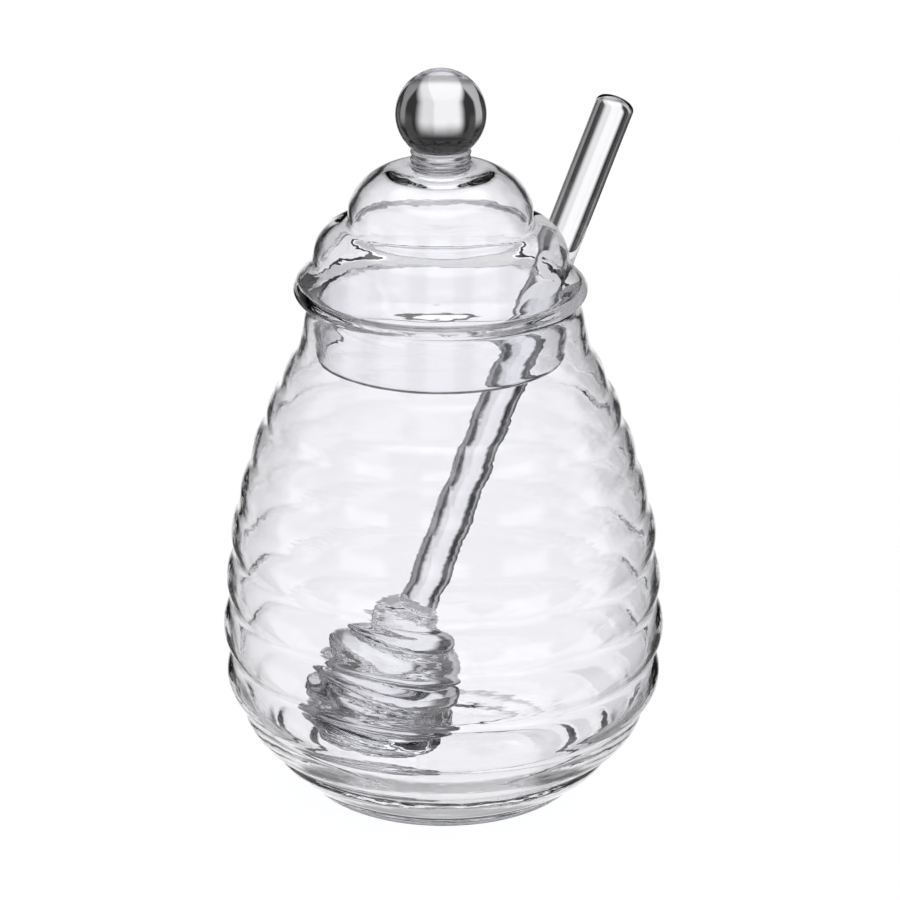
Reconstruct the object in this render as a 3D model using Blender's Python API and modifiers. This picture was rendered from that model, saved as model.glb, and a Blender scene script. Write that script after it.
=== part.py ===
"""A ribbed honey jar of clear glass, with its domed lid and a glass honey dipper.

The jar stands on the ground plane with its base centred on the origin. Three pieces are modelled:
the jar, the lid with its ball knob and its plug, and the dipper that leans in the jar and comes out
through an arched notch in the lid. Lengths are metres, +Z is up, and +X is the side that the
dipper leans towards.
"""

import math

import bmesh
import bpy
from mathutils import Matrix

# Jar: each crease between two ribs as height, radius and how far the rib below it bulges.
RIBS = (
    (0.0967, 0.0309, 0.0009),
    (0.0888, 0.0345, 0.0014),
    (0.0813, 0.0373, 0.0013),
    (0.0722, 0.0407, 0.0010),
    (0.0622, 0.0433, 0.0017),
    (0.0523, 0.0441, 0.0021),
    (0.0415, 0.0448, 0.0027),
    (0.0301, 0.0446, 0.0026),
    (0.0194, 0.0435, 0.0016),
    (0.0103, 0.0376, 0.0014),
    (0.0034, 0.0306, 0.0007),
)
BASE_RADIUS = 0.0278
LIP_HEIGHT = 0.1093
LIP_RADIUS = 0.0285
LIP_ROUNDING = 0.0009
MOUTH_RADIUS = 0.0272
MOUTH_DEPTH = 0.0025
NECK_INSIDE = (0.0284, 0.1035)
JAR_WALL = 0.0013
FLOOR_THICKNESS = 0.0020
FLOOR_RADIUS = 0.0200
FLOOR_CORNER = (0.0295, 0.0045)
FLOOR_CORNER_HOLLOW = 0.0006
WALL_STARTS = 0.0090

# Lid: heights are above the ground, radii are from the lid's own axis.
LID_SHIFT = -0.0008
SEAT_GAP = 0.0003
BALL_RADIUS = 0.00945
BALL_CENTRE = 0.1484
COLLAR_RADIUS = 0.0061
COLLAR_FOOT = 0.1368
TOP_TIER = (0.0193, 0.1290)
TOP_TIER_BULGE = 0.0029
UPPER_CREASE = (0.0193, 0.1247)
LOWER_TIER = (0.0265, 0.1196)
LOWER_TIER_BULGE = 0.0017
LOWER_CREASE = (0.0268, 0.1169)
SKIRT_FOOT = (0.0302, 0.1130)
RIM_RADIUS = 0.0310
RIM_MIDDLE = 0.1113
RIM_EDGE = 0.0008
RIM_DRAW_IN = 0.0001
PLUG_RADIUS = 0.0260
PLUG_BOTTOM = 0.0963
PLUG_EDGE = 0.0006
SHELF_HEIGHT = 0.0014
HOLLOW_RADIUS = 0.0291
LID_WALL = 0.0016
DOME_INSIDE_TOP = 0.1350

# Notch in the lid, an arch that points outwards at the dipper's side.
NOTCH_WIDTH = 0.0135
NOTCH_TOP = 0.1236
NOTCH_FROM = 0.0195
NOTCH_TO = 0.0360

# Dipper: measured along its own axis, from the tip of the head.
ROD_RADIUS = 0.00412
ROD_TOP = 0.1557
ROD_CORNER = 0.0022
ROD_END_FULLNESS = 0.85
HEAD_LENGTH = 0.0380
HEAD_RADIUS = 0.0166
HEAD_WIDEST = 0.0150
TIP_ROUNDING = 0.0008
TIP_FULLNESS = 2.6
SHOULDER_FULLNESS = 0.58
GROOVE_DEPTH = 0.0035
GROOVE_PITCH = 0.0060
GROOVE_SHARPNESS = 0.6
GROOVE_FADE = 1.4
LEAN = math.radians(21.34)
LEAN_TOWARDS = math.radians(15.0)
ROD_AT_MOUTH = (0.02185, 0.1100)
TIP_HEIGHT = 0.0043

JAR_SEGMENTS = 52
LID_SEGMENTS = 44
DIPPER_SEGMENTS = 24
RIB_STEPS = 4
CORNER_STEPS = 2
BALL_STEPS = 8
TOP_TIER_STEPS = 4
LOWER_TIER_STEPS = 3
ARCH_STEPS = 10
HEAD_RINGS = 44
ROD_END_ANGLES = (25, 50, 75)
MERGE = 0.00001
CUTTER_CLEARANCE = 0.002

CLEAR_GLASS = (0.93, 0.94, 0.96, 1.0)
GLASS_IOR = 1.47
BLOWN_ROUGHNESS = 0.02
DRAWN_ROUGHNESS = 0.03


def glass(name, roughness):
    """A clear glass material for one piece."""
    material = bpy.data.materials.new(name)
    material.use_nodes = True
    shader = material.node_tree.nodes["Principled BSDF"]
    shader.inputs["Base Color"].default_value = CLEAR_GLASS
    shader.inputs["Metallic"].default_value = 0.0
    shader.inputs["Roughness"].default_value = roughness
    shader.inputs["IOR"].default_value = GLASS_IOR
    shader.inputs["Transmission Weight"].default_value = 1.0
    return material


def arc(start, end, bulge, steps):
    """Points (radius, height) after start, up to and with end, on an arc.

    Seen along the way from start to end, a positive bulge is to the left, which is outwards where
    the way runs down.
    """
    chord = math.dist(start, end)
    along = ((end[0] - start[0]) / chord, (end[1] - start[1]) / chord)
    out = (-along[1], along[0])
    arc_radius = (chord * chord / 4 + bulge * bulge) / (2 * bulge)
    half_angle = math.asin(min(1.0, chord / 2 / arc_radius))
    points = []
    for i in range(1, steps + 1):
        angle = half_angle * (2 * i / steps - 1)
        t = chord / 2 + arc_radius * math.sin(angle)
        rise = arc_radius * math.cos(angle) - arc_radius + bulge
        points.append((start[0] + t * along[0] + rise * out[0], start[1] + t * along[1] + rise * out[1]))
    return points


def jar_profile():
    """The jar's cut section, from the middle of its floor, up inside, over the lip and down outside."""
    inside = [(0.0, FLOOR_THICKNESS), (FLOOR_RADIUS, FLOOR_THICKNESS)]
    inside += arc(inside[-1], FLOOR_CORNER, -FLOOR_CORNER_HOLLOW, CORNER_STEPS)
    inside += [
        (radius - JAR_WALL, height)
        for height, radius, _ in reversed(RIBS)
        if height > WALL_STARTS
    ]
    lip_inside = LIP_HEIGHT - LIP_ROUNDING
    inside += [NECK_INSIDE, (MOUTH_RADIUS, LIP_HEIGHT - MOUTH_DEPTH), (MOUTH_RADIUS, lip_inside)]
    lip = [(MOUTH_RADIUS + LIP_ROUNDING / 2, LIP_HEIGHT), (LIP_RADIUS - LIP_ROUNDING / 2, LIP_HEIGHT)]
    outside = [(LIP_RADIUS, LIP_HEIGHT - LIP_ROUNDING), (RIBS[0][1], RIBS[0][0])]
    creases = [(radius, height) for height, radius, _ in RIBS] + [(BASE_RADIUS, 0.0)]
    for start, end, (_, _, bulge) in zip(creases, creases[1:], RIBS):
        outside += arc(start, end, bulge, RIB_STEPS)
    return inside + lip + outside + [(0.0, 0.0)]


def lid_profile():
    """The lid's cut section, from the top of its knob down its outer side, round the plug and up inside."""
    collar_angle = math.asin(COLLAR_RADIUS / BALL_RADIUS)
    knob = []
    for i in range(BALL_STEPS + 1):
        angle = (math.pi - collar_angle) * i / BALL_STEPS
        knob.append((BALL_RADIUS * math.sin(angle), BALL_CENTRE + BALL_RADIUS * math.cos(angle)))
    seat = LIP_HEIGHT + SEAT_GAP
    outside = [(COLLAR_RADIUS, COLLAR_FOOT)]
    outside += arc(outside[-1], TOP_TIER, TOP_TIER_BULGE, TOP_TIER_STEPS) + [UPPER_CREASE]
    outside += arc(UPPER_CREASE, LOWER_TIER, LOWER_TIER_BULGE, LOWER_TIER_STEPS) + [LOWER_CREASE, SKIRT_FOOT]
    rim = [
        (RIM_RADIUS, RIM_MIDDLE),
        (RIM_RADIUS - RIM_DRAW_IN, seat + RIM_EDGE),
        (RIM_RADIUS - RIM_EDGE, seat),
    ]
    plug = [
        (PLUG_RADIUS, seat),
        (PLUG_RADIUS, PLUG_BOTTOM + PLUG_EDGE),
        (PLUG_RADIUS - PLUG_EDGE, PLUG_BOTTOM),
        (PLUG_RADIUS - LID_WALL + PLUG_EDGE, PLUG_BOTTOM),
        (PLUG_RADIUS - LID_WALL, PLUG_BOTTOM + PLUG_EDGE),
        (PLUG_RADIUS - LID_WALL, seat + SHELF_HEIGHT),
    ]
    # The flared skirt is hollow, so the wall inside runs out over a shelf and back in.
    inside = [
        (HOLLOW_RADIUS, seat + SHELF_HEIGHT),
        (SKIRT_FOOT[0] - LID_WALL, SKIRT_FOOT[1]),
        (LOWER_CREASE[0] - LID_WALL, LOWER_CREASE[1]),
    ]
    # The two tiers are made on their way down, as the arcs outside are, and then turned round.
    lower = (UPPER_CREASE[0] - LID_WALL / 2, UPPER_CREASE[1] - LID_WALL)
    foot = (LOWER_TIER[0] - LID_WALL, LOWER_TIER[1] - LID_WALL / 2)
    inside += arc(lower, foot, LOWER_TIER_BULGE, LOWER_TIER_STEPS)[::-1] + [lower]
    upper = (COLLAR_RADIUS, DOME_INSIDE_TOP)
    foot = (TOP_TIER[0] - LID_WALL, TOP_TIER[1] - LID_WALL / 2)
    inside += [(UPPER_CREASE[0] - LID_WALL, UPPER_CREASE[1])]
    inside += arc(upper, foot, TOP_TIER_BULGE, TOP_TIER_STEPS)[::-1] + [upper, (0.0, DOME_INSIDE_TOP)]
    return knob + outside + rim + plug + inside


def turned(name, profile, segments, material, collection):
    """An object turned round the Z axis from a profile of (radius, height) points."""
    mesh = bpy.data.meshes.new(name)
    vertices = [(radius, 0.0, height) for radius, height in profile]
    mesh.from_pydata(vertices, [(i, i + 1) for i in range(len(vertices) - 1)], [])
    mesh.materials.append(material)
    obj = bpy.data.objects.new(name, mesh)
    collection.objects.link(obj)
    screw = obj.modifiers.new("Turn", "SCREW")
    screw.axis = "Z"
    screw.angle = math.tau
    screw.steps = segments
    screw.render_steps = segments
    screw.use_merge_vertices = True
    screw.merge_threshold = MERGE
    screw.use_smooth_shade = True
    return obj


def notch_cutter(collection):
    """The arch that is cut out of the lid, as a solid that runs outwards on the dipper's side."""
    outline = bpy.data.curves.new("notch_outline", "CURVE")
    outline.dimensions = "2D"
    outline.fill_mode = "BOTH"
    outline.extrude = (NOTCH_TO - NOTCH_FROM) / 2
    half = NOTCH_WIDTH / 2
    spring = NOTCH_TOP - half
    foot = PLUG_BOTTOM - CUTTER_CLEARANCE
    points = [(-half, foot), (half, foot)]
    for i in range(ARCH_STEPS + 1):
        angle = math.pi * i / ARCH_STEPS
        points.append((half * math.cos(angle), spring + half * math.sin(angle)))
    spline = outline.splines.new("POLY")
    spline.points.add(len(points) - 1)
    for point, (across, height) in zip(spline.points, points):
        point.co = (across, height, 0.0, 1.0)
    spline.use_cyclic_u = True
    guide = bpy.data.objects.new("notch_outline", outline)
    collection.objects.link(guide)
    # Stood up so that the outline's own Z axis runs outwards from the jar.
    stand_up = Matrix.Rotation(math.radians(90), 4, "Z") @ Matrix.Rotation(math.radians(90), 4, "X")
    outwards = Matrix.Translation(((NOTCH_FROM + NOTCH_TO) / 2, 0.0, 0.0))
    guide.matrix_world = Matrix.Rotation(LEAN_TOWARDS, 4, "Z") @ outwards @ stand_up
    bpy.context.view_layer.update()
    graph = bpy.context.evaluated_depsgraph_get()
    mesh = bpy.data.meshes.new_from_object(guide.evaluated_get(graph))
    shell = bmesh.new()
    shell.from_mesh(mesh)
    bmesh.ops.remove_doubles(shell, verts=shell.verts, dist=MERGE)
    bmesh.ops.recalc_face_normals(shell, faces=shell.faces)
    shell.to_mesh(mesh)
    shell.free()
    cutter = bpy.data.objects.new("notch_cutter", mesh)
    cutter.matrix_world = guide.matrix_world
    collection.objects.link(cutter)
    bpy.data.objects.remove(guide)
    cutter.hide_render = True
    cutter.display_type = "WIRE"
    return cutter


def head_envelope(s):
    """The head's radius over its crests, at a distance s from its tip."""
    if s < HEAD_WIDEST:
        x = (HEAD_WIDEST - s) / (HEAD_WIDEST + TIP_ROUNDING)
        return HEAD_RADIUS * math.sqrt(1.0 - x**TIP_FULLNESS)
    x = min(1.0, (s - HEAD_WIDEST) / (HEAD_LENGTH - HEAD_WIDEST))
    return max(ROD_RADIUS, HEAD_RADIUS * math.cos(math.pi / 2 * x) ** SHOULDER_FULLNESS)


def dipper_radius(angle, s):
    """The dipper's radius at an angle round its axis: the envelope less the spiral groove."""
    envelope = head_envelope(s)
    crest = abs(math.sin(math.pi * (s / GROOVE_PITCH - angle / math.tau))) ** GROOVE_SHARPNESS
    share = (envelope - ROD_RADIUS) / (HEAD_RADIUS - ROD_RADIUS)
    return envelope - GROOVE_DEPTH * min(1.0, GROOVE_FADE * share) * (1.0 - crest)


def dipper_mesh():
    """The dipper along +Z with its tip at the origin, as rings round its axis and a pole at each end."""
    stations = [HEAD_LENGTH * i / HEAD_RINGS for i in range(HEAD_RINGS + 1)]
    shoulder = ROD_TOP - ROD_CORNER
    stations.append(shoulder)
    angles = [math.tau * j / DIPPER_SEGMENTS for j in range(DIPPER_SEGMENTS)]
    rings = [[dipper_radius(angle, s) for angle in angles] for s in stations]
    for degrees in ROD_END_ANGLES:
        angle = math.radians(degrees)
        stations.append(shoulder + ROD_CORNER * math.sin(angle) ** ROD_END_FULLNESS)
        rings.append([ROD_RADIUS * math.cos(angle) ** ROD_END_FULLNESS] * DIPPER_SEGMENTS)
    shell = bmesh.new()
    loops = []
    for s, radii in zip(stations, rings):
        loop = []
        for angle, radius in zip(angles, radii):
            loop.append(shell.verts.new((radius * math.cos(angle), radius * math.sin(angle), s)))
        loops.append(loop)
    for low, high in zip(loops, loops[1:]):
        for j in range(DIPPER_SEGMENTS):
            k = (j + 1) % DIPPER_SEGMENTS
            shell.faces.new((low[j], low[k], high[k], high[j]))
    shell.faces.new(loops[0][::-1])
    shell.faces.new(loops[-1])
    for face in shell.faces:
        face.smooth = True
    mesh = bpy.data.meshes.new("dipper")
    shell.to_mesh(mesh)
    shell.free()
    return mesh


def add_dipper(material, collection):
    """The dipper, leant against the mouth of the jar with its head on the floor."""
    mesh = dipper_mesh()
    mesh.materials.append(material)
    dipper = bpy.data.objects.new("dipper", mesh)
    collection.objects.link(dipper)
    mouth_radius, mouth_height = ROD_AT_MOUTH
    tip_radius = mouth_radius - (mouth_height - TIP_HEIGHT) * math.tan(LEAN)
    dipper.location = (
        tip_radius * math.cos(LEAN_TOWARDS),
        tip_radius * math.sin(LEAN_TOWARDS),
        TIP_HEIGHT,
    )
    dipper.rotation_euler = (
        Matrix.Rotation(LEAN_TOWARDS, 3, "Z")
        @ Matrix.Rotation(LEAN, 3, "Y")
        @ Matrix.Rotation(-LEAN_TOWARDS, 3, "Z")
    ).to_euler()
    return dipper


def add_lid(material, collection, cutters):
    """The lid, turned on its own axis and notched for the dipper."""
    lid = turned("lid", lid_profile(), LID_SEGMENTS, material, collection)
    lid.location.x = LID_SHIFT
    cut = lid.modifiers.new("Notch", "BOOLEAN")
    cut.operation = "DIFFERENCE"
    cut.solver = "EXACT"
    cut.object = notch_cutter(cutters)
    return lid


def main():
    for obj in list(bpy.data.objects):
        bpy.data.objects.remove(obj)
    parts = bpy.data.collections.new("honey_jar")
    cutters = bpy.data.collections.new("cutters")
    for collection in (parts, cutters):
        bpy.context.scene.collection.children.link(collection)
    turned("jar", jar_profile(), JAR_SEGMENTS, glass("jar_glass", BLOWN_ROUGHNESS), parts)
    add_lid(glass("lid_glass", BLOWN_ROUGHNESS), parts, cutters)
    add_dipper(glass("dipper_glass", DRAWN_ROUGHNESS), parts)


main()
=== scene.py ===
"""Looks of the ribbed honey jar of clear glass, with its domed lid and its glass honey dipper.

The three glass pieces are made again as smooth meshes with the wander of hand-worked glass, in
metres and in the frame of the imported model, and each stands for its own CAD node. The camera comes
first, then the jar, the lid and the dipper, and last the studio.
"""

import logging
import math
from collections.abc import Iterable, Mapping
from dataclasses import dataclass, field
from enum import Enum
from typing import Any

import bmesh
import bpy
import numpy as np
from mathutils import Matrix, Vector


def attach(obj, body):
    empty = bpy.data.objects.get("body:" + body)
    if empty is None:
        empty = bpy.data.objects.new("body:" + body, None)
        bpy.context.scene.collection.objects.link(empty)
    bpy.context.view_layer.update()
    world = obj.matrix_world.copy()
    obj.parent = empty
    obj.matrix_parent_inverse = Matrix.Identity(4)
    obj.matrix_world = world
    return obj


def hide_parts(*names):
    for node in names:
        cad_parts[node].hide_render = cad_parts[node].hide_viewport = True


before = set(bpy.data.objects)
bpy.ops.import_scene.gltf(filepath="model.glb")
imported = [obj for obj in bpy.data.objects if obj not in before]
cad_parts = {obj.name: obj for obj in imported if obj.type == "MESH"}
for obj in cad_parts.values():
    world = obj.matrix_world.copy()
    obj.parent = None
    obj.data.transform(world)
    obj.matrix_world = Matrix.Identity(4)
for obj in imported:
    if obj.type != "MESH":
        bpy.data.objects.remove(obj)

LOG = logging.getLogger("honey_jar")
BODY = "root"
MM = 0.001
# Points of a section nearer to each other than this are one.
TOUCHING = 1e-6
# The bell that rounds a line is counted this many reaches to each side.
BELL_ENDS = 3
# A step of the wander is eased over this many neighbours to each side.
EASED_NEIGHBOURS = 10
# What the lathe is told for a piece without a spiral groove.
NO_GROOVE = {"groove_pitch": 1.0, "groove_sharpness": 1.0, "thread_depth": 0.0}

Point = tuple[float, float]


class Side(Enum):
    """Which surface of the glass a stretch of a cut section belongs to."""

    OUTSIDE = 0.0
    INSIDE = 1.0


def linear(code: str) -> tuple[float, float, float, float]:
    """Turn an sRGB hex colour into the linear values that shaders take.

    Args:
        code: The colour as "#RRGGBB".

    Returns:
        Red, green, blue and an alpha of 1.
    """
    parts = [int(code[i : i + 2], 16) / 255 for i in (1, 3, 5)]
    values = [c / 12.92 if c <= 0.04045 else ((c + 0.055) / 1.055) ** 2.4 for c in parts]
    return (values[0], values[1], values[2], 1.0)


def add_node(
    tree: bpy.types.NodeTree,
    kind: str,
    settings: Mapping[str, Any] | None = None,
    inputs: Mapping[str | int, Any] | None = None,
) -> bpy.types.Node:
    """Add one node to a tree, set it up and link it.

    Args:
        tree: The node tree of a material, the world or Geometry Nodes.
        kind: The node's type name.
        settings: The node's own properties by name.
        inputs: For an input's name or number, the output socket that feeds it, the node whose
            first output does, or its plain value.

    Returns:
        The new node.
    """
    node = tree.nodes.new(kind)
    for name, value in (settings or {}).items():
        setattr(node, name, value)
    for name, value in (inputs or {}).items():
        source = value.outputs[0] if isinstance(value, bpy.types.Node) else value
        if isinstance(source, bpy.types.NodeSocket):
            tree.links.new(source, node.inputs[name])
        else:
            node.inputs[name].default_value = source
    return node


@dataclass(frozen=True)
class ClearGlass:
    """Borosilicate glass, clear and fire polished.

    The eye sees what lies behind it, bent, with dark lines where the surface turns away. A faint
    ripple from the flame bends the reflections, and long paths through it take a cool grey tint.
    """

    name: str
    tint: str = "#FCFCFE"
    depth_tint: str = "#DCDCE1"
    depth_density: float = 14.0
    shadow_tint: str = "#F4F5F8"
    ior: float = 1.47
    roughness: float = 0.0
    ripple_mm: float = 7.0
    ripple_stretch: tuple[float, float, float] = (1.0, 1.0, 3.0)
    ripple_height: float = 0.05 * MM
    ripple_detail: float = 2.0
    ripple_fineness: float = 0.45

    def material(self) -> bpy.types.Material:
        """Build the shader of this glass.

        Returns:
            The new material.
        """
        made = bpy.data.materials.new(self.name)
        made.use_nodes = True
        tree = made.node_tree
        tree.nodes.clear()
        place = add_node(tree, "ShaderNodeTexCoord").outputs["Object"]
        stretched = add_node(
            tree, "ShaderNodeMapping", inputs={"Vector": place, "Scale": self.ripple_stretch}
        )
        ripple = add_node(
            tree,
            "ShaderNodeTexNoise",
            inputs={
                "Vector": stretched,
                "Scale": 1 / (self.ripple_mm * MM),
                "Detail": self.ripple_detail,
                "Roughness": self.ripple_fineness,
            },
        )
        bump = add_node(
            tree,
            "ShaderNodeBump",
            inputs={"Strength": 1.0, "Distance": self.ripple_height, "Height": ripple},
        )
        shader = add_node(
            tree,
            "ShaderNodeBsdfPrincipled",
            inputs={
                "Base Color": linear(self.tint),
                "Roughness": self.roughness,
                "IOR": self.ior,
                "Transmission Weight": 1.0,
                "Normal": bump,
            },
        )
        # Lets the studio's light through to the floor, with the weak shadow that clear glass has.
        passing = add_node(
            tree, "ShaderNodeBsdfTransparent", inputs={"Color": linear(self.shadow_tint)}
        )
        rays = add_node(tree, "ShaderNodeLightPath")
        mix = add_node(
            tree,
            "ShaderNodeMixShader",
            inputs={0: rays.outputs["Is Shadow Ray"], 1: shader, 2: passing},
        )
        depth = add_node(
            tree,
            "ShaderNodeVolumeAbsorption",
            inputs={"Color": linear(self.depth_tint), "Density": self.depth_density},
        )
        add_node(tree, "ShaderNodeOutputMaterial", inputs={"Surface": mix, "Volume": depth})
        return made


def arc(start: Point, end: Point, bulge: float, step: float) -> list[Point]:
    """Lay points on a circular arc.

    Args:
        start: Where it starts, as radius and height.
        end: Where it ends.
        bulge: How far its middle stands off the straight line, to the left of the way.
        step: About how far apart the points are.

    Returns:
        The points after start, up to and with end.
    """
    chord = math.dist(start, end)
    steps = max(2, math.ceil(chord / step))
    along = ((end[0] - start[0]) / chord, (end[1] - start[1]) / chord)
    radius = (chord * chord / 4 + bulge * bulge) / (2 * bulge)
    half = math.asin(max(-1.0, min(1.0, chord / 2 / radius)))
    points = []
    for i in range(1, steps + 1):
        angle = half * (2 * i / steps - 1)
        t = chord / 2 + radius * math.sin(angle)
        rise = radius * math.cos(angle) - radius + bulge
        out = start[0] + t * along[0] - rise * along[1]
        up = start[1] + t * along[1] + rise * along[0]
        points.append((out, up))
    return points


def evened(points: Iterable[Point], step: float) -> np.ndarray:
    """Lay points at even distances along a line.

    Args:
        points: The corners of the line, as radius and height.
        step: About how far apart the new points are.

    Returns:
        The new points, with the line's two ends kept.
    """
    line = np.array(list(points), float)
    run = np.concatenate([[0.0], np.cumsum(np.hypot(*np.diff(line, axis=0).T))])
    count = max(2, round(run[-1] / step) + 1)
    at = np.linspace(0.0, run[-1], count)
    return np.stack([np.interp(at, run, line[:, 0]), np.interp(at, run, line[:, 1])], 1)


def softened(line: np.ndarray, reach: float) -> np.ndarray:
    """Round the corners of an evenly spaced line, as heat does, and keep its two ends.

    Args:
        line: The points, evenly spaced.
        reach: How far along the line the rounding reaches.

    Returns:
        The rounded line, with as many points.
    """
    step = float(np.hypot(*(line[1] - line[0])))
    half = max(1, round(BELL_ENDS * reach / step))
    weights = np.exp(-0.5 * (np.arange(-half, half + 1) * step / reach) ** 2)
    weights /= weights.sum()
    # Each end is carried on by its own mirror image, so that it stays where it is.
    before = 2 * line[0] - line[half:0:-1]
    after = 2 * line[-1] - line[-2 : -half - 2 : -1]
    full = np.concatenate([before, line, after])
    return np.stack([np.convolve(full[:, i], weights, "valid") for i in (0, 1)], 1)


def inwards(rising: np.ndarray) -> np.ndarray:
    """Give the way into the glass, square to its outer side.

    Args:
        rising: The outer side, laid on its way up.

    Returns:
        For each point a unit step into the glass.
    """
    along = np.gradient(rising, axis=0)
    along /= np.linalg.norm(along, axis=1)[:, None]
    return np.stack([-along[:, 1], along[:, 0]], 1)


@dataclass
class Section:
    """A cut section of a turned piece, gathered stretch by stretch."""

    points: list[np.ndarray] = field(default_factory=list)
    wander: list[np.ndarray] = field(default_factory=list)
    side: list[np.ndarray] = field(default_factory=list)

    def add(self, line: Iterable[Point] | np.ndarray, side: Side, wander: float = 0.0) -> None:
        """Add one stretch.

        Args:
            line: Its points, as radius and height.
            side: The surface that it is on.
            wander: How far the glass strays from the turned shape here.
        """
        stretch = np.array(list(line), float)
        self.points.append(stretch)
        self.wander.append(np.full(len(stretch), wander))
        self.side.append(np.full(len(stretch), side.value))

    def mesh(self, name: str) -> bpy.types.Mesh:
        """Write the section as a line of vertices in the XZ plane, with what the turning reads.

        Args:
            name: The mesh's name.

        Returns:
            The mesh, with its wander and side attributes.
        """
        points = np.concatenate(self.points)
        kept = np.concatenate([[True], np.hypot(*np.diff(points, axis=0).T) > TOUCHING])
        points = points[kept]
        mesh = bpy.data.meshes.new(name)
        mesh.from_pydata([(r, 0.0, z) for r, z in points], [], [])
        wander = smoothed(np.concatenate(self.wander)[kept])
        for label, values in (("wander", wander), ("side", np.concatenate(self.side)[kept])):
            layer = mesh.attributes.new(label, "FLOAT", "POINT")
            layer.data.foreach_set("value", values.astype(np.float32))
        return mesh


def smoothed(values: np.ndarray) -> np.ndarray:
    """Ease the steps of a row of numbers over their neighbours.

    Args:
        values: The numbers.

    Returns:
        As many numbers, with the row's two ends carried on.
    """
    weights = np.hanning(2 * EASED_NEIGHBOURS + 3)[1:-1]
    carried_on = np.pad(values, EASED_NEIGHBOURS, "edge")
    return np.convolve(carried_on, weights / weights.sum(), "valid")


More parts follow.
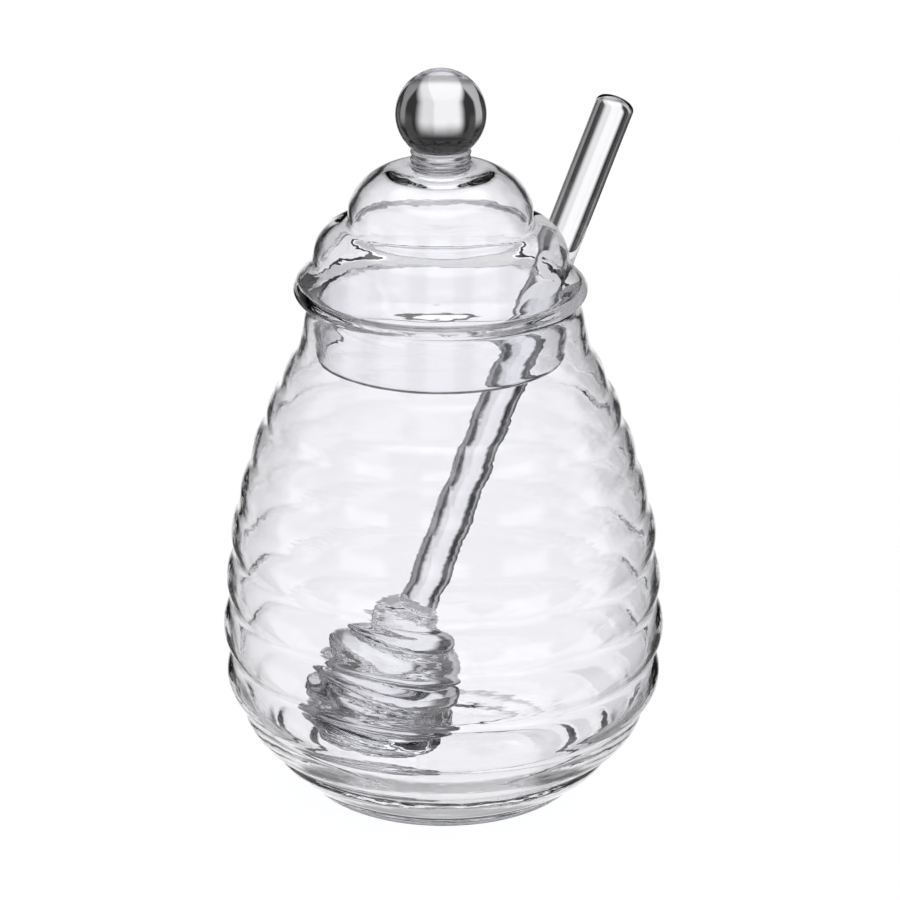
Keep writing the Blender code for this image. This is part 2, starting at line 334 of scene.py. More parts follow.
class GlassLathe:
    """Geometry Nodes that turn a section round the Z axis and let the glass wander."""

    # This is added to the groove's wave, so that its bottom is round and less deep, as soft glass
    # closes a sharp one.
    groove_rounding: float = 0.03
    # So many fine lines run beside each other along the groove.
    lines_per_pitch: int = 4
    # The inner side wanders apart from the outer one by this step in the noise.
    inner_seed_step: float = 7.3
    wander_detail: float = 1.0
    seam_gap: float = 0.002 * MM

    def __init__(self) -> None:
        """Build the tree once, for every turned piece."""
        self.tree = bpy.data.node_groups.new("glass_lathe", "GeometryNodeTree")
        face = self.tree.interface
        face.new_socket("Section", in_out="INPUT", socket_type="NodeSocketGeometry")
        self.inputs = {
            name: face.new_socket(name, in_out="INPUT", socket_type=kind).identifier
            for name, kind in (
                ("Segments", "NodeSocketInt"),
                ("Wander size", "NodeSocketFloat"),
                ("Seed", "NodeSocketFloat"),
                ("Groove pitch", "NodeSocketFloat"),
                ("Groove sharpness", "NodeSocketFloat"),
                ("Thread depth", "NodeSocketFloat"),
                ("Finish", "NodeSocketMaterial"),
            )
        }
        face.new_socket("Glass", in_out="OUTPUT", socket_type="NodeSocketGeometry")
        self._build()

    def _build(self) -> None:
        """Lay a grid, roll it up round the axis to the section's radii, and close it."""
        tree = self.tree
        given = add_node(tree, "NodeGroupInput").outputs
        rows = add_node(
            tree, "GeometryNodeAttributeDomainSize", inputs={"Geometry": given["Section"]}
        ).outputs["Point Count"]
        columns = add_node(
            tree, "ShaderNodeMath", {"operation": "ADD"}, {0: given["Segments"], 1: 1.0}
        )
        grid = add_node(
            tree,
            "GeometryNodeMeshGrid",
            inputs={"Size X": 1.0, "Size Y": 1.0, "Vertices X": columns, "Vertices Y": rows},
        )
        position = add_node(tree, "GeometryNodeInputPosition")
        # The grid is a unit square about the origin, so half a unit is added to run from 0 to 1.
        flat = add_node(tree, "ShaderNodeSeparateXYZ", inputs={0: position}).outputs
        turn = add_node(tree, "ShaderNodeMath", {"operation": "ADD"}, {0: flat["X"], 1: 0.5})
        angle = add_node(tree, "ShaderNodeMath", {"operation": "MULTIPLY"}, {0: turn, 1: math.tau})
        across = add_node(tree, "ShaderNodeMath", {"operation": "ADD"}, {0: flat["Y"], 1: 0.5})
        last = add_node(tree, "ShaderNodeMath", {"operation": "SUBTRACT"}, {0: rows, 1: 1.0})
        reached = add_node(tree, "ShaderNodeMath", {"operation": "MULTIPLY"}, {0: across, 1: last})
        row = add_node(tree, "ShaderNodeMath", {"operation": "ROUND"}, {0: reached})

        def sampled(kind: str, source: bpy.types.NodeSocket | bpy.types.Node) -> bpy.types.NodeSocket:
            """Read a value of the section in this vertex's row.

            Args:
                kind: The value's type.
                source: What gives the value.

            Returns:
                The socket that holds it.
            """
            return add_node(
                tree,
                "GeometryNodeSampleIndex",
                {"data_type": kind, "domain": "POINT"},
                {"Geometry": given["Section"], "Value": source, "Index": row},
            ).outputs["Value"]

        place = add_node(
            tree, "ShaderNodeSeparateXYZ", inputs={0: sampled("FLOAT_VECTOR", position)}
        ).outputs
        amounts = {}
        for label in ("wander", "side", "groove"):
            stored = add_node(
                tree, "GeometryNodeInputNamedAttribute", {"data_type": "FLOAT"}, {"Name": label}
            )
            amounts[label] = sampled("FLOAT", stored.outputs["Attribute"])
        depth = self._groove_depth(place["Z"], turn, given, amounts["groove"])
        radius = add_node(
            tree, "ShaderNodeMath", {"operation": "SUBTRACT"}, {0: place["X"], 1: depth}
        )
        cosine = add_node(tree, "ShaderNodeMath", {"operation": "COSINE"}, {0: angle})
        sine = add_node(tree, "ShaderNodeMath", {"operation": "SINE"}, {0: angle})
        ring = add_node(tree, "ShaderNodeCombineXYZ", inputs={"X": cosine, "Y": sine})
        out = add_node(
            tree, "ShaderNodeVectorMath", {"operation": "SCALE"}, {0: ring, "Scale": radius}
        )
        up = add_node(tree, "ShaderNodeCombineXYZ", inputs={"Z": place["Z"]})
        at = add_node(tree, "ShaderNodeVectorMath", {"operation": "ADD"}, {0: out, 1: up})
        offset = self._stray(at, ring, given, amounts)
        rolled = add_node(
            tree,
            "GeometryNodeSetPosition",
            inputs={"Geometry": grid, "Position": at, "Offset": offset},
        )
        closed = add_node(
            tree,
            "GeometryNodeMergeByDistance",
            inputs={"Geometry": rolled, "Distance": self.seam_gap},
        )
        smooth = add_node(tree, "GeometryNodeSetShadeSmooth", inputs={"Geometry": closed})
        real = add_node(tree, "GeometryNodeRealizeInstances", inputs={"Geometry": smooth})
        dressed = add_node(
            tree,
            "GeometryNodeSetMaterial",
            inputs={"Geometry": real, "Material": given["Finish"]},
        )
        add_node(tree, "NodeGroupOutput", inputs={"Glass": dressed})

    def _groove_depth(
        self,
        height: bpy.types.NodeSocket,
        turn: bpy.types.Node,
        given: Any,
        groove: bpy.types.NodeSocket,
    ) -> bpy.types.Node:
        """Work out how deep the spiral groove and the fine lines in it are.

        Args:
            height: The vertex's height.
            turn: Its way round the axis, from 0 to 1.
            given: The tree's inputs.
            groove: How deep the groove is at most in this row.

        Returns:
            The node that holds the depth.
        """
        tree = self.tree
        pitches = add_node(
            tree, "ShaderNodeMath", {"operation": "DIVIDE"}, {0: height, 1: given["Groove pitch"]}
        )
        wound = add_node(tree, "ShaderNodeMath", {"operation": "SUBTRACT"}, {0: pitches, 1: turn})
        # A crest of the spiral is where the sine is 1 or -1, and the groove is cut in between.
        phase = add_node(tree, "ShaderNodeMath", {"operation": "MULTIPLY"}, {0: wound, 1: math.pi})
        sine = add_node(tree, "ShaderNodeMath", {"operation": "SINE"}, {0: phase})
        wave = add_node(tree, "ShaderNodeMath", {"operation": "POWER"}, {0: sine, 1: 2.0})
        raised = add_node(
            tree, "ShaderNodeMath", {"operation": "ADD"}, {0: wave, 1: self.groove_rounding}
        )
        rounded = add_node(
            tree, "ShaderNodeMath", {"operation": "DIVIDE"}, {0: raised, 1: 1.0 + self.groove_rounding}
        )
        half = add_node(
            tree, "ShaderNodeMath", {"operation": "MULTIPLY"}, {0: given["Groove sharpness"], 1: 0.5}
        )
        crest = add_node(tree, "ShaderNodeMath", {"operation": "POWER"}, {0: rounded, 1: half})
        cut = add_node(tree, "ShaderNodeMath", {"operation": "SUBTRACT"}, {0: 1.0, 1: crest})
        lines = add_node(
            tree,
            "ShaderNodeMath",
            {"operation": "MULTIPLY"},
            {0: wound, 1: self.lines_per_pitch * math.tau},
        )
        threads = add_node(tree, "ShaderNodeMath", {"operation": "COSINE"}, {0: lines})
        fine = add_node(
            tree, "ShaderNodeMath", {"operation": "MULTIPLY"}, {0: threads, 1: given["Thread depth"]}
        )
        share = add_node(tree, "ShaderNodeMath", {"operation": "ADD"}, {0: cut, 1: fine})
        return add_node(tree, "ShaderNodeMath", {"operation": "MULTIPLY"}, {0: share, 1: groove})

    def _stray(
        self,
        at: bpy.types.Node,
        ring: bpy.types.Node,
        given: Any,
        amounts: Mapping[str, bpy.types.NodeSocket],
    ) -> bpy.types.Node:
        """Work out how far the glass strays from the turned shape.

        Args:
            at: The vertex's place.
            ring: The way out from the axis there.
            given: The tree's inputs.
            amounts: The section's values in this row, by name.

        Returns:
            The node that holds the offset.
        """
        tree = self.tree
        seed = add_node(
            tree,
            "ShaderNodeMath",
            {"operation": "MULTIPLY_ADD"},
            {0: amounts["side"], 1: self.inner_seed_step, 2: given["Seed"]},
        )
        scale = add_node(
            tree, "ShaderNodeMath", {"operation": "DIVIDE"}, {0: 1.0, 1: given["Wander size"]}
        )
        noise = add_node(
            tree,
            "ShaderNodeTexNoise",
            {"noise_dimensions": "4D"},
            {"Vector": at, "W": seed, "Scale": scale, "Detail": self.wander_detail},
        ).outputs["Color"]
        stray = add_node(tree, "ShaderNodeSeparateXYZ", inputs={0: noise}).outputs
        ways = []
        for axis in ("X", "Y"):
            even = add_node(tree, "ShaderNodeMath", {"operation": "SUBTRACT"}, {0: stray[axis], 1: 0.5})
            ways.append(
                add_node(
                    tree, "ShaderNodeMath", {"operation": "MULTIPLY"}, {0: even, 1: amounts["wander"]}
                )
            )
        sideways, upwards = ways
        push = add_node(
            tree, "ShaderNodeVectorMath", {"operation": "SCALE"}, {0: ring, "Scale": sideways}
        )
        lift = add_node(tree, "ShaderNodeCombineXYZ", inputs={"Z": upwards})
        return add_node(tree, "ShaderNodeVectorMath", {"operation": "ADD"}, {0: push, 1: lift})

    def turn(self, name: str, section: bpy.types.Mesh, **values: Any) -> bpy.types.Object:
        """Turn a section into a plain closed mesh.

        Args:
            name: The finished piece's name.
            section: The section's vertices and attributes.
            values: The tree's inputs, by name with _ for a space.

        Returns:
            The piece, at the origin and with no modifier.
        """
        piece = bpy.data.objects.new(name, section)
        bpy.context.scene.collection.objects.link(piece)
        modifier = piece.modifiers.new("lathe", "NODES")
        modifier.node_group = self.tree
        for key, value in values.items():
            modifier[self.inputs[key.replace("_", " ").capitalize()]] = value
        graph = bpy.context.evaluated_depsgraph_get()
        made = bpy.data.meshes.new_from_object(piece.evaluated_get(graph))
        piece.modifiers.remove(modifier)
        piece.data = made
        bpy.data.meshes.remove(section)
        made.name = name
        face_outwards(made)
        return piece


def face_outwards(mesh: bpy.types.Mesh) -> None:
    """Turn every face of a mesh outwards.

    Args:
        mesh: The mesh, which is closed.
    """
    shell = bmesh.new()
    shell.from_mesh(mesh)
    bmesh.ops.recalc_face_normals(shell, faces=shell.faces)
    if shell.calc_volume(signed=True) < 0:
        bmesh.ops.reverse_faces(shell, faces=shell.faces)
    shell.to_mesh(mesh)
    shell.free()


def dress(piece: bpy.types.Object, node: str) -> None:
    """Say what a piece stands for and report it.

    Args:
        piece: The finished piece.
        node: The CAD node that it stands for.
    """
    # The floor's own light goes past the glass, so only the material's weak shadow falls on it.
    piece.visible_diffuse = False
    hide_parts(node)
    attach(piece, BODY)
    mesh = piece.data
    mesh.calc_loop_triangles()
    LOG.info("%s: %d triangles, stands for %s", piece.name, len(mesh.loop_triangles), node)


@dataclass
class Jar:
    """The ribbed jar, blown in a mould: its inside follows the ribs, and is smoother at the foot."""

    lathe: GlassLathe
    finish: ClearGlass
    # Each crease between two ribs as height, radius and how far the rib below it bulges.
    ribs: tuple[tuple[float, float, float], ...] = (
        (0.0967, 0.0309, 0.0009),
        (0.0888, 0.0345, 0.0014),
        (0.0813, 0.0373, 0.0013),
        (0.0722, 0.0407, 0.0010),
        (0.0622, 0.0433, 0.0017),
        (0.0523, 0.0441, 0.0021),
        (0.0415, 0.0448, 0.0027),
        (0.0301, 0.0446, 0.0026),
        (0.0194, 0.0435, 0.0016),
        (0.0103, 0.0376, 0.0014),
        (0.0034, 0.0306, 0.0007),
    )
    base_radius: float = 0.0278
    lip_height: float = 0.1093
    lip_radius: float = 0.0285
    lip_rounding: float = 0.0009
    # The lip is a little flatter than half a round.
    lip_fullness: float = 0.95
    lip_step: float = 0.2 * MM
    mouth_radius: float = 0.0272
    mouth_depth: float = 0.0025
    # The wall runs into the mouth over this height.
    mouth_blend: float = 0.0030
    wall: float = 0.0013
    floor_thickness: float = 0.0020
    floor_radius: float = 0.0200
    floor_corner_hollow: float = 0.0006
    wall_starts: float = 0.0045
    heel_height: float = 0.0010
    crease_rounding: float = 1.25 * MM
    foot_rounding: float = 0.7 * MM
    foot_inside_rounding: float = 2.6 * MM
    heel_reach: float = 6 * MM
    foot_crisp_below: float = 0.010
    foot_soft_above: float = 0.024
    inside_rounding: float = 0.5 * MM
    floor_rounding: float = 3 * MM
    rib_reach: float = 9 * MM
    outside_step: float = 0.5 * MM
    inside_step: float = 0.6 * MM
    flat_step: float = 2 * MM
    segments: int = 176
    wander: float = 0.25 * MM
    wander_size: float = 22 * MM
    seed: float = 3.0

    def soft_share(self, line: np.ndarray) -> np.ndarray:
        """Say for each point of a line how far it is from the foot, from 0 on it to 1 above it."""
        share = (line[:, 1] - self.foot_crisp_below) / (self.foot_soft_above - self.foot_crisp_below)
        return np.clip(share, 0.0, 1.0)[:, None]

    def outside(self) -> np.ndarray:
        """Lay the outer side from the lip down to the foot.

        Returns:
            The points, as radius and height.
        """
        points = [(self.lip_radius, self.lip_height - self.lip_rounding), self.ribs[0][1::-1]]
        creases = [(radius, height) for height, radius, _ in self.ribs] + [(self.base_radius, 0.0)]
        for start, end, (_, _, bulge) in zip(creases, creases[1:], self.ribs):
            points += arc(start, end, bulge, self.outside_step / 2)
        points.append((self.base_radius - self.heel_reach, 0.0))
        line = evened(points, self.outside_step)
        # The foot sat firmly in the mould, so its creases are crisper than the ones above.
        share = self.soft_share(line)
        soft, crisp = softened(line, self.crease_rounding), softened(line, self.foot_rounding)
        return share * soft + (1 - share) * crisp

    def inside(self, outside: np.ndarray) -> np.ndarray:
        """Lay the inner side from the middle of the floor up to the mouth.

        Args:
            outside: The outer side, which the inner one follows.

        Returns:
            The points, as radius and height.
        """
        rising = outside[outside[:, 1] > self.heel_height][::-1]
        # The wall is measured square to the jar's shape without its ribs, so the ribs' flanks are
        # thinner, as in glass blown into a mould. At the foot the small ribs are closed inside.
        share = self.soft_share(rising)
        base = share * rising + (1 - share) * softened(rising, self.foot_inside_rounding)
        inner = base + self.wall * inwards(softened(rising, self.rib_reach))
        top = self.lip_height - self.mouth_depth
        wall = [tuple(p) for p in inner if self.wall_starts < p[1] < top - self.mouth_blend]
        floor = (self.floor_radius, self.floor_thickness)
        points = [floor, *arc(floor, wall[0], -self.floor_corner_hollow, self.inside_step / 2), *wall]
        points += [(self.mouth_radius, top), (self.mouth_radius, self.lip_height - self.lip_rounding)]
        line = evened(points, self.inside_step)
        # The floor runs up into the wall without a corner.
        share = self.soft_share(line)
        soft, round_floor = softened(line, self.inside_rounding), softened(line, self.floor_rounding)
        return share * soft + (1 - share) * round_floor

    def build(self) -> None:
        """Turn the jar and dress it."""
        outside = self.outside()
        section = Section()
        floor = [(0.0, self.floor_thickness), (self.floor_radius, self.floor_thickness)]
        section.add(evened(floor, self.flat_step), Side.INSIDE)
        section.add(self.inside(outside), Side.INSIDE, self.wander)
        height = self.lip_height - self.lip_rounding
        rise = (self.lip_radius - self.mouth_radius) / 2 * self.lip_fullness
        lip = arc((self.mouth_radius, height), (self.lip_radius, height), rise, self.lip_step)
        section.add(lip, Side.OUTSIDE)
        section.add(outside, Side.OUTSIDE, self.wander)
        base = [(self.base_radius - self.heel_reach, 0.0), (0.0, 0.0)]
        section.add(evened(base, self.flat_step), Side.OUTSIDE)
        keep_feet(section, self.floor_thickness)
        piece = self.lathe.turn(
            "blown_jar",
            section.mesh("jar_section"),
            segments=self.segments,
            wander_size=self.wander_size,
            seed=self.seed,
            finish=self.finish.material(),
            **NO_GROOVE,
        )
        dress(piece, "jar")


def keep_feet(section: Section, height: float) -> None:
    """Take the wander out of the foot of a section, so that the piece stands flat.

    Args:
        section: The section.
        height: Up to here there is none, and at twice this height it is whole.
    """
    for points, wander in zip(section.points, section.wander):
        wander *= np.clip(points[:, 1] / height - 1.0, 0.0, 1.0)


@dataclass
class Lid:
    """The domed lid: a solid ball knob on a blown crown of two tiers, a rolled rim and a plug."""

    lathe: GlassLathe
    finish: ClearGlass
    shift: float = -0.0008
    seat: float = 0.1096
    ball_radius: float = 0.00945
    ball_centre: float = 0.1484
    collar_radius: float = 0.0061
    collar_foot: float = 0.1368
    collar_rings: int = 3
    ring_height: float = 0.00025
    top_tier: Point = (0.0193, 0.1290)
    top_tier_bulge: float = 0.0029
    upper_crease: Point = (0.0193, 0.1247)
    lower_tier: Point = (0.0265, 0.1196)
    lower_tier_bulge: float = 0.0017
    lower_crease: Point = (0.0268, 0.1169)
    skirt_foot: Point = (0.0302, 0.1130)
    skirt_flare: float = 0.0003
    rim_radius: float = 0.0310
    rim_middle: float = 0.1113
    rim_bulge: float = 0.0002
    seat_inset: float = 0.0008
    plug_radius: float = 0.0260
    plug_bottom: float = 0.0963
    plug_rounding: float = 0.0008
    shelf_height: float = 0.0014
    hollow_radius: float = 0.0291
    wall: float = 0.0016
    dome_inside_top: float = 0.1350
    rounding: float = 0.8 * MM
    tier_reach: float = 4 * MM
    funnel_bulge: float = 0.5 * MM
    funnel_rise: float = 0.8 * MM
    inside_rounding: float = 0.6 * MM
    step: float = 0.35 * MM
    inside_step: float = 0.56 * MM
    ball_points: int = 72
    collar_points: int = 30
    segments: int = 192
    wander: float = 0.25 * MM
    wander_size: float = 15 * MM
    seed: float = 11.0
    notch_width: float = 0.0135
    notch_top: float = 0.1236
    notch_from: float = 0.0195
    notch_to: float = 0.0360
    notch_towards: float = math.radians(15.0)
    # The cutter starts this far under the plug.
    notch_start: float = 2 * MM
    arch_points: int = 49
    # Edges that turn by more than this stay crisp, such as the notch's.
    sharp_from: float = math.radians(35.0)

    def knob(self) -> np.ndarray:
        """Lay the ball from its top down to the collar.

        Returns:
            The points, as radius and height.
        """
        last = math.pi - math.asin(self.collar_radius / self.ball_radius)
        return np.array(
            [
                (self.ball_radius * math.sin(a), self.ball_centre + self.ball_radius * math.cos(a))
                for a in np.linspace(0.0, last, self.ball_points)
            ]
        )

    def collar(self) -> np.ndarray:
        """Lay the collar under the ball, with its fine rings.

        Returns:
            The points, as radius and height.
        """
        top = self.ball_centre - math.sqrt(self.ball_radius**2 - self.collar_radius**2)
        share = np.linspace(0.0, 1.0, self.collar_points)
        rings = self.ring_height * np.sin(math.pi * self.collar_rings * share) ** 2
        return np.stack([self.collar_radius + rings, top + (self.collar_foot - top) * share], 1)

    def crown(self) -> np.ndarray:
        """Lay the outer side from the collar down to the rim.

        Returns:
            The points, as radius and height.
        """
        points = [(self.collar_radius, self.collar_foot)]
        points += arc(points[-1], self.top_tier, self.top_tier_bulge, self.step / 2)
        points.append(self.upper_crease)
        points += arc(self.upper_crease, self.lower_tier, self.lower_tier_bulge, self.step / 2)
        points += [self.lower_crease, self.skirt_foot]
        rim = (self.rim_radius, self.rim_middle)
        points += arc(self.skirt_foot, rim, -self.skirt_flare, self.step / 2)
        underside = (self.rim_radius - self.seat_inset, self.seat)
        points += arc(rim, underside, self.rim_bulge, self.step / 2)
        return softened(evened(points, self.step), self.rounding)

    def plug(self) -> np.ndarray:
        """Lay the outer side of the plug that hangs in the mouth, and its rounded lower edge.

        Returns:
            The points, as radius and height.
        """
        inner = self.plug_radius - self.wall
        edge = self.plug_bottom + self.plug_rounding
        start = (self.rim_radius - self.seat_inset, self.seat)
        points = [start, (self.plug_radius, self.seat), (self.plug_radius, edge)]
        points += arc(points[-1], (inner, edge), self.plug_rounding, self.step / 2)
        return evened(points, self.step)

    def hollow(self) -> np.ndarray:
        """Lay the inner side from the plug's edge up to the middle of the crown.

        Returns:
            The points, as radius and height.
        """
        plug = self.plug_radius - self.wall
        shelf = self.seat + self.shelf_height
        points = [(plug, self.plug_bottom + self.plug_rounding), (plug, self.seat)]
        funnel_top = (self.hollow_radius, shelf + self.funnel_rise)
        points += arc(points[-1], funnel_top, self.funnel_bulge, self.step)
        rising = self.crown()[::-1]
        inner = rising + self.wall * inwards(softened(rising, self.tier_reach))
        low, high = self.skirt_foot[1], self.dome_inside_top
        points += [tuple(p) for p in inner if low < p[1] < high]
        points.append((0.0, high))
        return softened(evened(points, self.inside_step), self.inside_rounding)

    def notch_cutter(self) -> bpy.types.Object:
        """Build the arch that is cut out on the dipper's side, running outwards.

        Returns:
            The cutter.
        """
        half = self.notch_width / 2
        spring = self.notch_top - half
        foot = self.plug_bottom - self.notch_start
        outline = [(-half, foot), (half, foot)]
        outline += [
            (half * math.cos(a), spring + half * math.sin(a))
            for a in np.linspace(0.0, math.pi, self.arch_points)
        ]
        shell = bmesh.new()
        ends = [
            [shell.verts.new((distance, across, height)) for across, height in outline]
            for distance in (self.notch_from, self.notch_to)
        ]
        shell.faces.new(ends[0])
        shell.faces.new(ends[1])
        for i in range(len(outline)):
            j = (i + 1) % len(outline)
            shell.faces.new((ends[0][i], ends[0][j], ends[1][j], ends[1][i]))
        bmesh.ops.recalc_face_normals(shell, faces=shell.faces)
        bmesh.ops.transform(
            shell, matrix=Matrix.Rotation(self.notch_towards, 4, "Z"), verts=shell.verts
        )
        mesh = bpy.data.meshes.new("notch_cutter")
        shell.to_mesh(mesh)
        shell.free()
        cutter = bpy.data.objects.new("notch_cutter", mesh)
        bpy.context.scene.collection.objects.link(cutter)
        return cutter

    def build(self) -> None:
        """Turn the lid, cut its notch and dress it."""
        section = Section()
        section.add(self.knob(), Side.OUTSIDE)
        section.add(self.collar(), Side.OUTSIDE)
        section.add(self.crown(), Side.OUTSIDE, self.wander)
        section.add(self.plug(), Side.OUTSIDE)
        section.add(self.hollow(), Side.INSIDE, self.wander)
        piece = self.lathe.turn(
            "blown_lid",
            section.mesh("lid_section"),
            segments=self.segments,
            wander_size=self.wander_size,
            seed=self.seed,
            finish=self.finish.material(),
            **NO_GROOVE,
        )
        piece.data.transform(Matrix.Translation((self.shift, 0.0, 0.0)))
        cutter = self.notch_cutter()
        cut = piece.modifiers.new("notch", "BOOLEAN")
        cut.operation = "DIFFERENCE"
        cut.solver = "EXACT"
        cut.object = cutter
        graph = bpy.context.evaluated_depsgraph_get()
        made = bpy.data.meshes.new_from_object(piece.evaluated_get(graph))
        piece.modifiers.remove(cut)
        piece.data = made
        bpy.data.objects.remove(cutter)
        made.set_sharp_from_angle(angle=self.sharp_from)
        dress(piece, "lid")


@dataclass
class Dipper:
    """The honey dipper: a solid rod whose lower end is wound into a spiral head."""

    lathe: GlassLathe
    finish: ClearGlass
    rod_radius: float = 0.00412
    rod_top: float = 0.1557
    rod_corner: float = 0.0022
    rod_end_fullness: float = 0.85
    head_length: float = 0.0380
    head_radius: float = 0.0166
    head_widest: float = 0.0150
    tip_rounding: float = 0.0008
    tip_fullness: float = 2.6
    shoulder_fullness: float = 0.46
    groove_depth: float = 0.0035
    groove_pitch: float = 0.0060
    groove_sharpness: float = 0.6
    thread_share: float = 0.002
    lean: float = math.radians(21.34)
    lean_towards: float = math.radians(15.0)
    rod_at_mouth: Point = (0.02185, 0.1100)
    tip_height: float = 0.0043
    # How soon the groove reaches its full depth as the head widens from the rod.
    groove_fade: float = 1.4
    head_points: int = 160
    rod_points: int = 80
    end_points: int = 20
    tip_step: float = 0.4 * MM
    segments: int = 144
    wander: float = 0.08 * MM
    wander_size: float = 12 * MM
    seed: float = 23.0

    def envelope(self, s: float) -> float:
        """Give the radius over the crests.

        Args:
            s: The distance from the tip along the dipper.

        Returns:
            The radius there.
        """
        if s < self.head_widest:
            x = (self.head_widest - s) / (self.head_widest + self.tip_rounding)
            return self.head_radius * math.sqrt(1.0 - x**self.tip_fullness)
        x = min(1.0, (s - self.head_widest) / (self.head_length - self.head_widest))
        shoulder = math.cos(math.pi / 2 * x) ** self.shoulder_fullness
        return max(self.rod_radius, self.head_radius * shoulder)

    def build(self) -> None:
        """Wind the head, draw the rod, lean it in the jar and dress it."""
        head = [(self.envelope(s), s) for s in np.linspace(0.0, self.head_length, self.head_points)]
        shoulder = self.rod_top - self.rod_corner
        lengths = np.linspace(self.head_length, shoulder, self.rod_points)
        rod = [(self.rod_radius, s) for s in lengths]
        # The fire has rounded the sawn end, a little fuller than an ellipse.
        full = self.rod_end_fullness
        end = [
            (self.rod_radius * math.cos(a) ** full, shoulder + self.rod_corner * math.sin(a) ** full)
            for a in np.linspace(0.0, math.pi / 2, self.end_points)
        ]
        section = Section()
        section.add(evened([(0.0, 0.0), head[0]], self.tip_step), Side.OUTSIDE)
        section.add(head, Side.OUTSIDE, self.wander)
        section.add(rod, Side.OUTSIDE, self.wander)
        section.add(end[:-1] + [(0.0, self.rod_top)], Side.OUTSIDE)
        mesh = section.mesh("dipper_section")
        points = np.zeros(len(mesh.vertices) * 3)
        mesh.vertices.foreach_get("co", points)
        radii = points[0::3]
        on_head = (points[2::3] > TOUCHING) & (points[2::3] < self.head_length)
        share = np.clip((radii - self.rod_radius) / (self.head_radius - self.rod_radius), 0.0, 1.0)
        fade = np.minimum(1.0, self.groove_fade * share)
        depth = np.where(on_head, self.groove_depth * fade, 0.0)
        layer = mesh.attributes.new("groove", "FLOAT", "POINT")
        layer.data.foreach_set("value", depth.astype(np.float32))
        piece = self.lathe.turn(
            "glass_dipper",
            mesh,
            segments=self.segments,
            wander_size=self.wander_size,
            seed=self.seed,
            groove_pitch=self.groove_pitch,
            groove_sharpness=self.groove_sharpness,
            thread_depth=self.thread_share,
            finish=self.finish.material(),
        )
        mouth_radius, mouth_height = self.rod_at_mouth
        tip_radius = mouth_radius - (mouth_height - self.tip_height) * math.tan(self.lean)
        towards = Matrix.Rotation(self.lean_towards, 4, "Z")
        lean = towards @ Matrix.Rotation(self.lean, 4, "Y") @ towards.inverted()
        tip = towards @ Vector((tip_radius, 0.0, self.tip_height))
        piece.data.transform(Matrix.Translation(tip) @ lean)
        dress(piece, "dipper")


@dataclass(frozen=True)
class Screen:
    """A lit screen that stands round the object, by where it stands and how bright it is.

    Its azimuth, half its width and how far its edge fades to each side are in degrees.
    """

    azimuth: float
    half_width: float
    brightness: float
    edge: float = 3.0


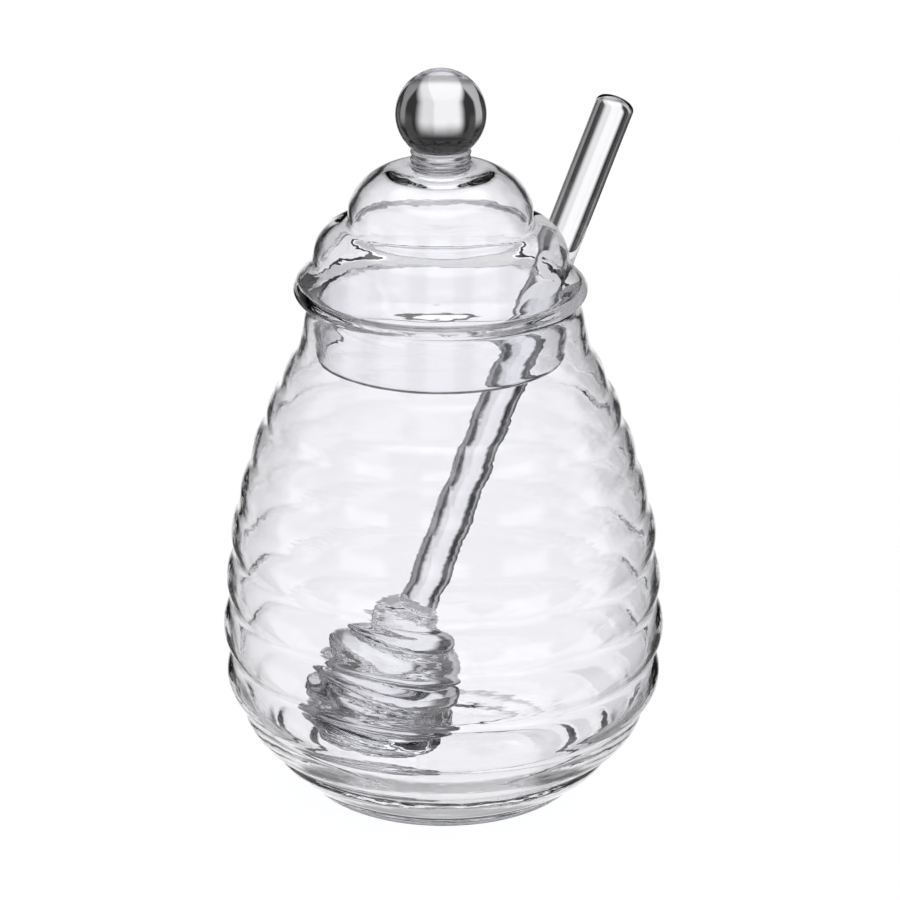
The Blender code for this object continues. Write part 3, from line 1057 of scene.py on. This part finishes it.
@dataclass
class Studio:
    """A plain pale floor in a white room, as glass is shown: bright behind it, dark at its sides."""

    eye: tuple[float, float, float] = (0.0, -0.8148, 0.3818)
    aim: tuple[float, float, float] = (0.0013, 0.0, 0.0746)
    lens_mm: float = 164.6
    sensor_mm: float = 36.0
    roll: float = math.radians(0.19)
    floor_half: float = 6.0
    floor_colour: str = "#F6F6F6"
    floor_roughness: float = 0.9
    # The floor is this far under the jar, so that the two faces don't flicker.
    floor_drop: float = 0.05 * MM
    room_light: float = 1.12
    # How bright the glass sees what stands between the screens, and how much wider the screens
    # are for each unit of height below widen_below, in degrees.
    dark: float = 0.04
    spread: float = 40.0
    # How bright it sees the shaded paper, the table straight down, and the ceiling: through solid
    # glass, through two walls, and straight overhead.
    shade: float = 0.42
    table: float = 0.8
    ceiling: float = 0.02
    ceiling_within: float = 0.7
    overhead: float = 1.4
    # Light that has gone through two walls has met about four surfaces.
    two_walls: float = 4.0
    two_walls_margin: float = 1.2
    # Heights are the upward part of a direction, from -1 straight down to 1 straight up.
    widen_below: float = -0.42
    table_heights: Point = (-0.95, -0.85)
    shade_heights: Point = (-0.78, -0.66)
    ceiling_heights: Point = (-0.18, 0.12)
    overhead_heights: Point = (0.70, 0.80)
    # Azimuths are anticlockwise from +X. The first two screens stand behind the object in the main
    # view and overlap there, the right one dimmer.
    screens: tuple[Screen, ...] = (
        Screen(95.0, 14.0, 1.05, 5.0),
        Screen(83.0, 13.0, 0.86, 6.0),
        Screen(45.0, 6.0, 0.3),
        Screen(135.0, 8.0, 0.55),
        Screen(0.0, 13.0, 0.8),
        Screen(180.0, 13.0, 0.8),
        Screen(225.0, 13.0, 1.0),
        Screen(270.0, 13.0, 1.0),
        Screen(315.0, 13.0, 1.0),
    )
    bounces: int = 32
    glossy_bounces: int = 8

    def place_camera(self) -> None:
        """Put the camera where the photograph was taken from."""
        data = bpy.data.cameras.new("camera")
        data.sensor_width = self.sensor_mm
        data.lens = self.lens_mm
        camera = bpy.data.objects.new("camera", data)
        bpy.context.scene.collection.objects.link(camera)
        look = (Vector(self.aim) - Vector(self.eye)).to_track_quat("-Z", "Y")
        camera.rotation_mode = "QUATERNION"
        camera.rotation_quaternion = look @ Matrix.Rotation(self.roll, 4, "Z").to_quaternion()
        camera.location = self.eye
        bpy.context.scene.camera = camera

    def lay_floor(self) -> None:
        """Lay the pale floor, which the glass itself doesn't look at."""
        half = self.floor_half
        mesh = bpy.data.meshes.new("floor")
        mesh.from_pydata(
            [(-half, -half, 0.0), (half, -half, 0.0), (half, half, 0.0), (-half, half, 0.0)],
            [],
            [(0, 1, 2, 3)],
        )
        paper = bpy.data.materials.new("matt_white_paper")
        paper.use_nodes = True
        shader = paper.node_tree.nodes["Principled BSDF"]
        shader.inputs["Base Color"].default_value = linear(self.floor_colour)
        shader.inputs["Roughness"].default_value = self.floor_roughness
        shader.inputs["Specular IOR Level"].default_value = 0.0
        mesh.materials.append(paper)
        floor = bpy.data.objects.new("floor", mesh)
        floor.location.z = -self.floor_drop
        floor.visible_transmission = False
        floor.visible_glossy = False
        bpy.context.scene.collection.objects.link(floor)

    def stand_screens(self, tree: bpy.types.NodeTree, direction: bpy.types.Node) -> bpy.types.Node:
        """Stand the screens round the object, with dark between them.

        Args:
            tree: The world's node tree.
            direction: The node that holds the three parts of a ray's direction.

        Returns:
            The node that holds how bright the screens are in that direction.
        """
        way = direction.outputs
        angle = add_node(tree, "ShaderNodeMath", {"operation": "ARCTAN2"}, {0: way["Y"], 1: way["X"]})
        azimuth = add_node(tree, "ShaderNodeMath", {"operation": "DEGREES"}, {0: angle})
        # They stand on lit paper, so further down they are wider.
        below = add_node(
            tree, "ShaderNodeMath", {"operation": "SUBTRACT"}, {0: self.widen_below, 1: way["Z"]}
        )
        depth = add_node(tree, "ShaderNodeMath", {"operation": "MAXIMUM"}, {0: below, 1: 0.0})
        wider = add_node(tree, "ShaderNodeMath", {"operation": "MULTIPLY"}, {0: depth, 1: self.spread})
        brightness: Any = self.dark
        for screen in self.screens:
            turned = add_node(
                tree, "ShaderNodeMath", {"operation": "SUBTRACT"}, {0: azimuth, 1: screen.azimuth}
            )
            wrapped = add_node(
                tree, "ShaderNodeMath", {"operation": "WRAP"}, {0: turned, 1: 180.0, 2: -180.0}
            )
            away = add_node(tree, "ShaderNodeMath", {"operation": "ABSOLUTE"}, {0: wrapped})
            off = add_node(tree, "ShaderNodeMath", {"operation": "SUBTRACT"}, {0: away, 1: wider})
            lit = add_node(
                tree,
                "ShaderNodeMapRange",
                {"interpolation_type": "SMOOTHSTEP"},
                {
                    "Value": off,
                    "From Min": screen.half_width - screen.edge,
                    "From Max": screen.half_width + screen.edge,
                    "To Min": screen.brightness,
                    "To Max": 0.0,
                },
            )
            brightness = add_node(
                tree, "ShaderNodeMath", {"operation": "MAXIMUM"}, {0: lit, 1: brightness}
            )
        return brightness

    def light(self) -> None:
        """Light the room: white to the eye and the floor, and with the screens for the glass."""
        world = bpy.data.worlds.new("white_room")
        world.use_nodes = True
        bpy.context.scene.world = world
        tree = world.node_tree
        tree.nodes.clear()
        place = add_node(tree, "ShaderNodeTexCoord").outputs["Generated"]
        direction = add_node(tree, "ShaderNodeSeparateXYZ", inputs={0: place})
        rays = add_node(tree, "ShaderNodeLightPath").outputs
        # Behind two walls the dark of the ceiling is broken by their reflections.
        within = add_node(
            tree,
            "ShaderNodeMath",
            {"operation": "COMPARE"},
            {0: rays["Transmission Depth"], 1: self.two_walls, 2: self.two_walls_margin},
        )
        above = add_node(
            tree,
            "ShaderNodeMath",
            {"operation": "MULTIPLY_ADD"},
            {0: within, 1: self.ceiling_within - self.ceiling, 2: self.ceiling},
        )
        # The paper close to the object is in the shade of the screens. Straight down it is plain
        # bright table, and from a little under the horizon up a dark ceiling begins.
        near, table, ceiling, overhead = (
            add_node(
                tree,
                "ShaderNodeMapRange",
                {"interpolation_type": "SMOOTHSTEP"},
                {
                    "Value": direction.outputs["Z"],
                    "From Min": heights[0],
                    "From Max": heights[1],
                    "To Min": lower,
                    "To Max": upper,
                },
            )
            for heights, lower, upper in (
                (self.shade_heights, self.shade, 1.0),
                (self.table_heights, 1.0, 0.0),
                (self.ceiling_heights, 0.0, 1.0),
                (self.overhead_heights, above, self.overhead),
            )
        )
        screens = add_node(
            tree,
            "ShaderNodeMath",
            {"operation": "MULTIPLY"},
            {0: self.stand_screens(tree, direction), 1: near},
        )
        # A Mix node takes its share at socket 0 and its two numbers at 2 and 3.
        low = add_node(
            tree, "ShaderNodeMix", {"data_type": "FLOAT"}, {0: table, 2: screens, 3: self.table}
        )
        seen = add_node(tree, "ShaderNodeMix", {"data_type": "FLOAT"}, {0: ceiling, 2: low, 3: overhead})
        glass_sees = add_node(
            tree,
            "ShaderNodeMath",
            {"operation": "MAXIMUM"},
            {0: rays["Is Glossy Ray"], 1: rays["Is Transmission Ray"]},
        )
        plain = add_node(
            tree,
            "ShaderNodeMath",
            {"operation": "MULTIPLY_ADD"},
            {0: rays["Is Camera Ray"], 1: 1.0 - self.room_light, 2: self.room_light},
        )
        strength = add_node(
            tree, "ShaderNodeMix", {"data_type": "FLOAT"}, {0: glass_sees, 2: plain, 3: seen}
        )
        background = add_node(
            tree, "ShaderNodeBackground", inputs={"Color": linear("#FFFFFF"), "Strength": strength}
        )
        add_node(tree, "ShaderNodeOutputWorld", inputs={"Surface": background})

    def develop(self) -> None:
        """Set how light goes through the stacked glass and how it is shown."""
        scene = bpy.context.scene
        scene.cycles.max_bounces = self.bounces
        scene.cycles.transmission_bounces = self.bounces
        scene.cycles.glossy_bounces = self.glossy_bounces
        scene.cycles.transparent_max_bounces = self.bounces
        scene.cycles.caustics_reflective = False
        scene.cycles.caustics_refractive = False
        scene.view_settings.view_transform = "Standard"
        scene.view_settings.look = "None"

    def build(self) -> None:
        """Set up everything but the camera."""
        self.lay_floor()
        self.light()
        self.develop()
        LOG.info("studio: floor, white room and screens")


def main() -> None:
    """Build the pieces in order and log how many triangles each of the looks has."""
    logging.basicConfig(level=logging.INFO, format="%(name)s %(message)s")
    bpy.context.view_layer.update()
    studio = Studio()
    studio.place_camera()
    lathe = GlassLathe()
    # A rod is drawn clearer and smoother than a blown wall.
    rod_glass = ClearGlass(
        "borosilicate_rod_wound_in_a_flame", depth_density=8.0, ripple_height=0.01 * MM
    )
    for piece in (
        Jar(lathe, ClearGlass("borosilicate_blown_in_a_ribbed_mould")),
        Lid(lathe, ClearGlass("borosilicate_blown_and_flame_worked")),
        Dipper(lathe, rod_glass),
    ):
        piece.build()
    studio.build()


if __name__ == "__main__":
    main()
